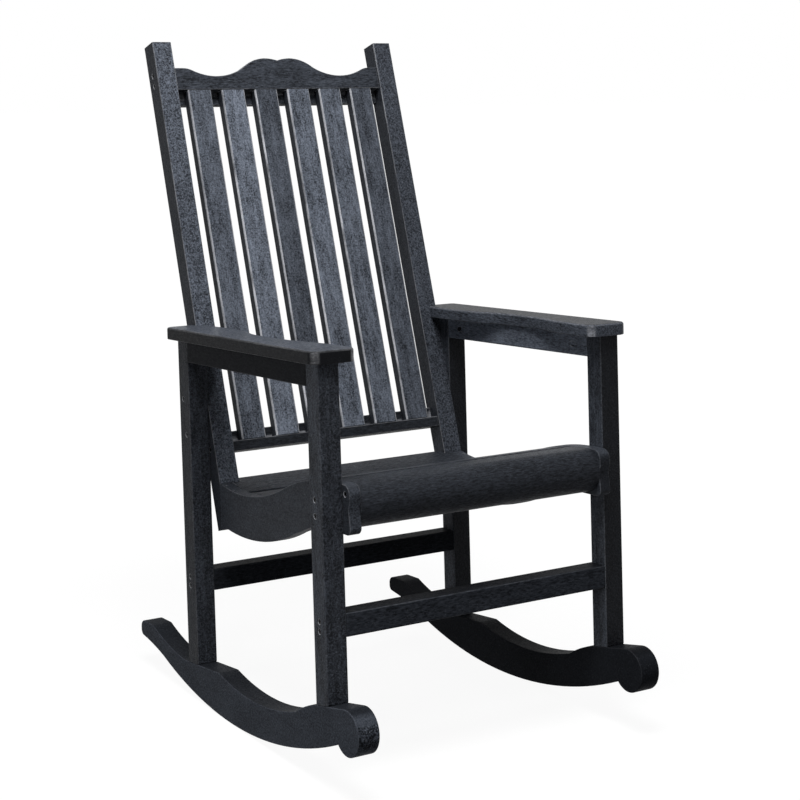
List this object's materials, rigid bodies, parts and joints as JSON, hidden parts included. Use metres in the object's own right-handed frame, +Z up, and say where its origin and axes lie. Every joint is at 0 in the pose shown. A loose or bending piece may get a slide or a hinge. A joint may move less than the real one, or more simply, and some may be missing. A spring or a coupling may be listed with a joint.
{
  "type": "rocking chair",
  "caption": "High-backed slatted rocking chair of solid moulded plastic, with flat arms, a rolled seat front and scrolled rockers.",
  "frame": {"origin": "centre of the chair's bounding box at floor level, with the chair standing where it balances on its rockers", "axes": "+Z up, the chair's front faces -Y, +X is the sitter's left; the legs lean back 3.4 degrees from +Z"},
  "size_m": [0.6396, 0.8796, 1.2116],
  "materials": {
    "moulded_plastic": "satin charcoal with a fine mottled grain",
    "screw_steel": "weathered stainless"
  },
  "bodies": {
    "root": {"arm_rail_screws": "screw_steel", "arm_screws": "screw_steel", "back_slat_1": "moulded_plastic", "back_slat_2": "moulded_plastic", "back_slat_3": "moulded_plastic", "back_slat_4": "moulded_plastic", "back_slat_5": "moulded_plastic", "back_slat_6": "moulded_plastic", "back_slat_screws": "screw_steel", "crest_rail": "moulded_plastic", "crest_rail_screws": "screw_steel", "front_stretcher": "moulded_plastic", "left_arm": "moulded_plastic", "left_arm_rail": "moulded_plastic", "left_back_post": "moulded_plastic", "left_front_leg": "moulded_plastic", "left_rear_leg": "moulded_plastic", "left_rocker": "moulded_plastic", "left_seat_rail": "moulded_plastic", "lower_back_rail": "moulded_plastic", "lower_rail_screws": "screw_steel", "post_screws": "screw_steel", "rear_stretcher": "moulded_plastic", "right_arm": "moulded_plastic", "right_arm_rail": "moulded_plastic", "right_back_post": "moulded_plastic", "right_front_leg": "moulded_plastic", "right_rear_leg": "moulded_plastic", "right_rocker": "moulded_plastic", "right_seat_rail": "moulded_plastic", "rocker_screws": "screw_steel", "seat_rail_screws": "screw_steel", "seat_roll": "moulded_plastic", "seat_roll_screws": "screw_steel", "seat_slat_1": "moulded_plastic", "seat_slat_2": "moulded_plastic", "seat_slat_3": "moulded_plastic", "seat_slat_4": "moulded_plastic", "seat_slat_5": "moulded_plastic", "seat_slat_screws": "screw_steel", "stretcher_screws": "screw_steel"}
  },
  "joints": []
}
